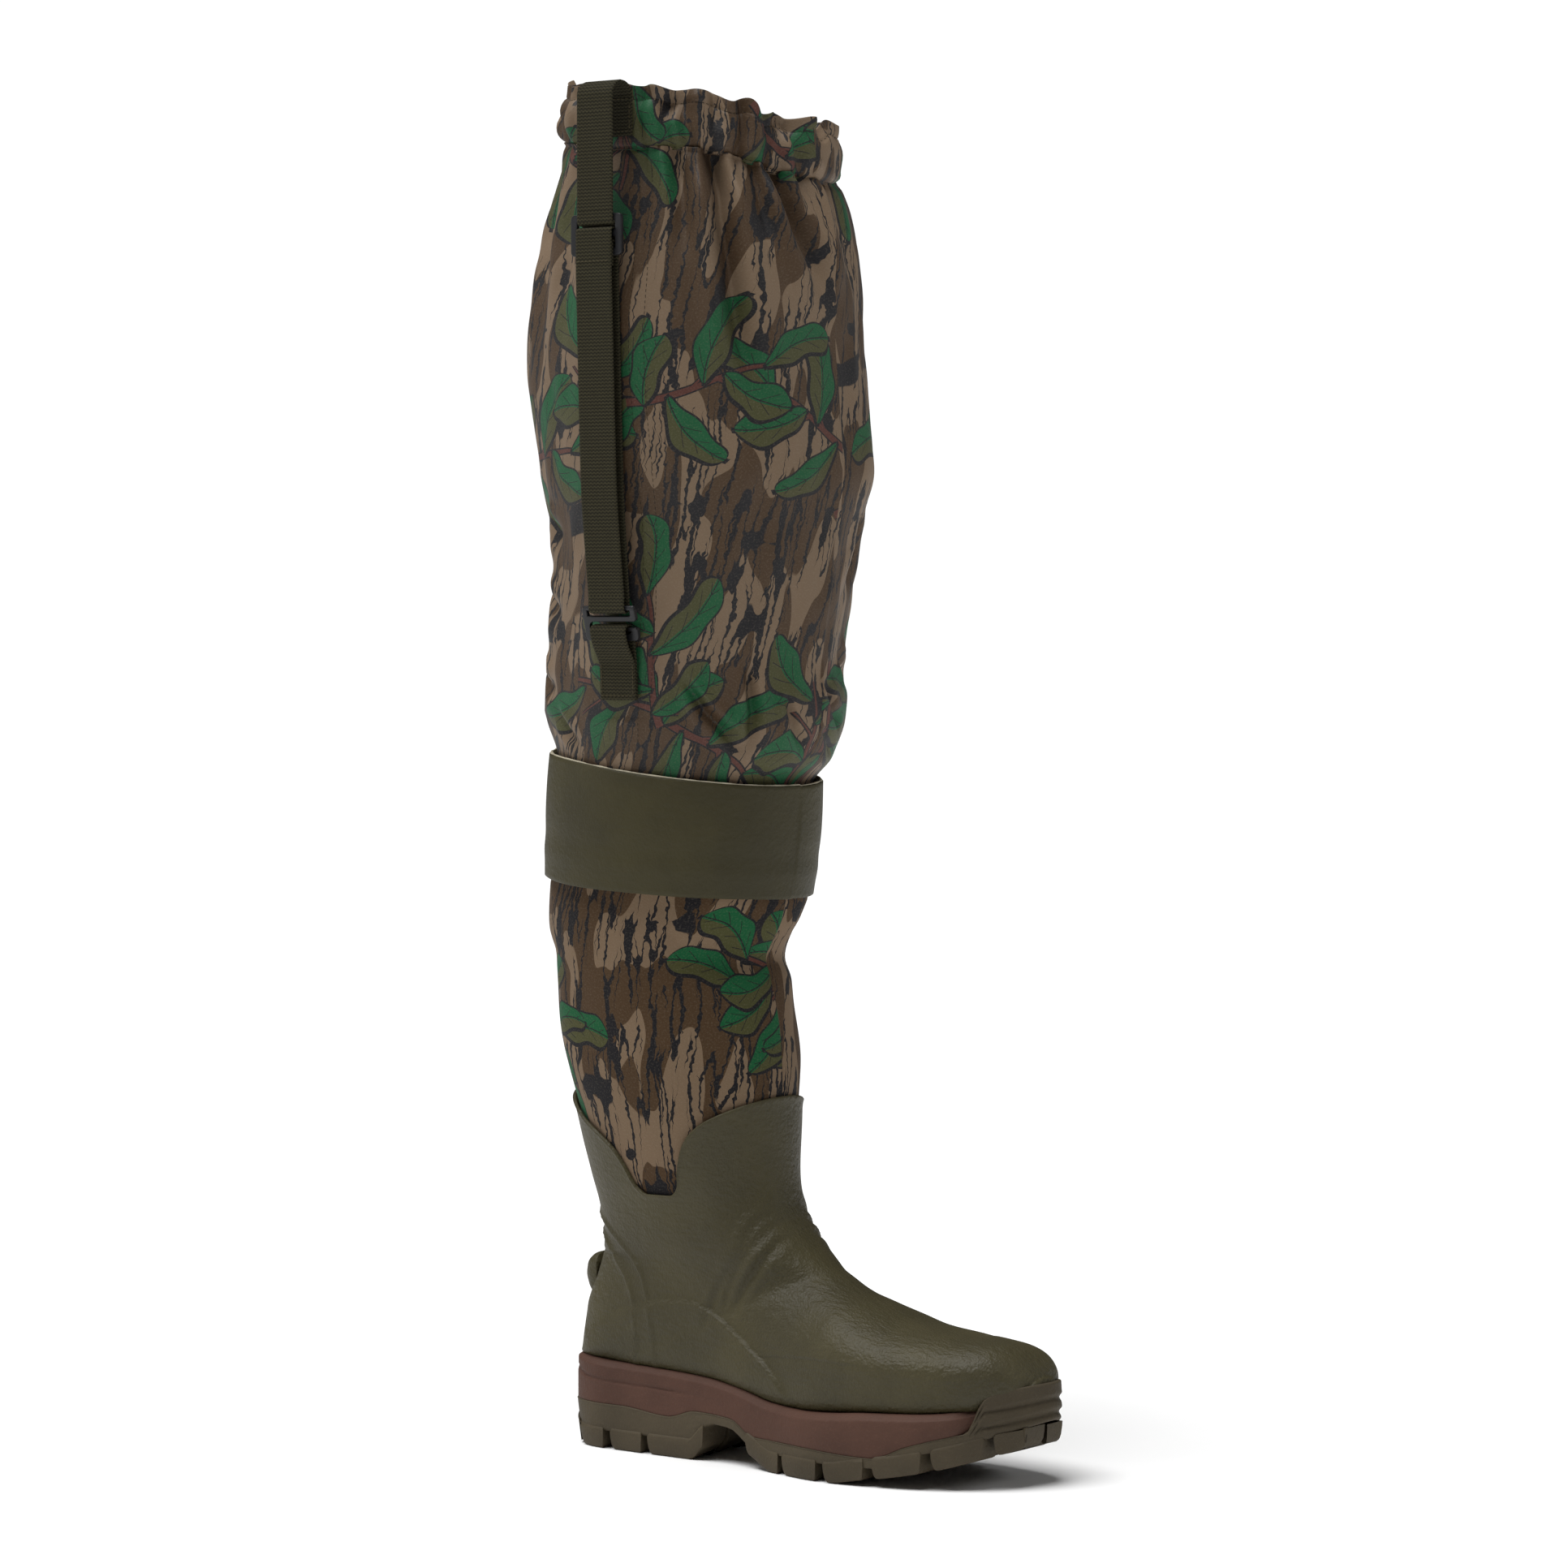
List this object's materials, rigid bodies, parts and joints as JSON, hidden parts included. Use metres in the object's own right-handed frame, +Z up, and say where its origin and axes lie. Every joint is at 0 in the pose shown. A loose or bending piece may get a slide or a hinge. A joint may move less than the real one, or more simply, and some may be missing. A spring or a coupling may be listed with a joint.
{
  "type": "hip wader",
  "caption": "Thigh-high right hip wader: lugged rubber boot, neoprene shaft, knee band, camouflage fabric leg with a gathered hem, and an adjustable belt strap with a hook.",
  "frame": {"origin": "on the ground under the middle of the heel", "axes": "+X to the toe, +Z up the leg, -Y to the outer side of this right boot, where the strap hangs"},
  "size_m": [0.3468, 0.1929, 0.8093],
  "materials": {
    "tread_rubber": "brown-olive moulded rubber, matt",
    "midsole_foam": "red-brown moulded foam, matt",
    "steel": "plain strip",
    "board": "pressed fibre board",
    "insole_foam": "cloth-topped foam",
    "olive_rubber": "olive rubber with a fine leather grain, satin",
    "stiffener": "thermoformed sheet",
    "black_neoprene": "jersey-faced neoprene",
    "camo_neoprene": null,
    "camo_fabric": null,
    "seam_tape": "heat-welded tape",
    "elastic": "woven elastic",
    "webbing": "dark olive ribbed webbing",
    "thread": "olive thread",
    "buckle_plastic": "charcoal moulded plastic",
    "hook_metal": "charcoal coated metal, satin"
  },
  "bodies": {
    "boot": {"outsole": "tread_rubber", "midsole": "midsole_foam", "shank": "steel", "lasting_board": "board", "insole": "insole_foam", "rubber_upper": "olive_rubber", "heel_counter": "stiffener", "toe_puff": "stiffener", "kick_tab": "olive_rubber", "foot_lining": "black_neoprene", "neoprene_shaft": "camo_neoprene", "knee_band": "olive_rubber", "knee_seam_tape": "seam_tape", "knee_front_panel": "camo_fabric", "knee_back_panel": "camo_fabric"},
    "thigh": {"leg_front_panel": "camo_fabric", "leg_back_panel": "camo_fabric", "seam_tape_lateral": "seam_tape", "seam_tape_medial": "seam_tape", "hem_casing": "camo_fabric", "hem_elastic": "elastic", "strap_top_end": "webbing", "top_stitching": "thread", "lower_tab": "webbing", "tab_stitching": "thread"},
    "strap": {"strap_top_run": "webbing", "strap_front_run": "webbing", "strap_back_run": "webbing", "hook_wrap": "webbing"},
    "slider": {"tri_glide": "buckle_plastic", "slider_wrap": "webbing", "slider_weave": "webbing"},
    "hook": {"g_hook": "hook_metal"}
  },
  "joints": [
    {"name": "knee_bend", "type": "hinge", "parent": "boot", "child": "thigh", "pos_m": [0.007, 0, 0.505], "axis": [0, -1, 0], "range_deg": [0, 90], "deforming": ["knee_front_panel", "knee_back_panel"]},
    {"name": "strap_unhook", "type": "hinge", "parent": "thigh", "child": "strap", "pos_m": [0.023, -0.0972, 0.786], "axis": [0, 1, 0], "range_deg": [0, 45]},
    {"name": "slider_slide", "type": "slide", "parent": "strap", "child": "slider", "axis": [0, 0, -1], "range_m": [-0.01, 0.115], "deforming": ["strap_top_run", "strap_front_run", "strap_back_run"]},
    {"name": "hook_swing", "type": "hinge", "parent": "strap", "child": "hook", "pos_m": [0.028, -0.091, 0.5], "axis": [-1, 0, 0], "range_deg": [-1, 6]}
  ]
}
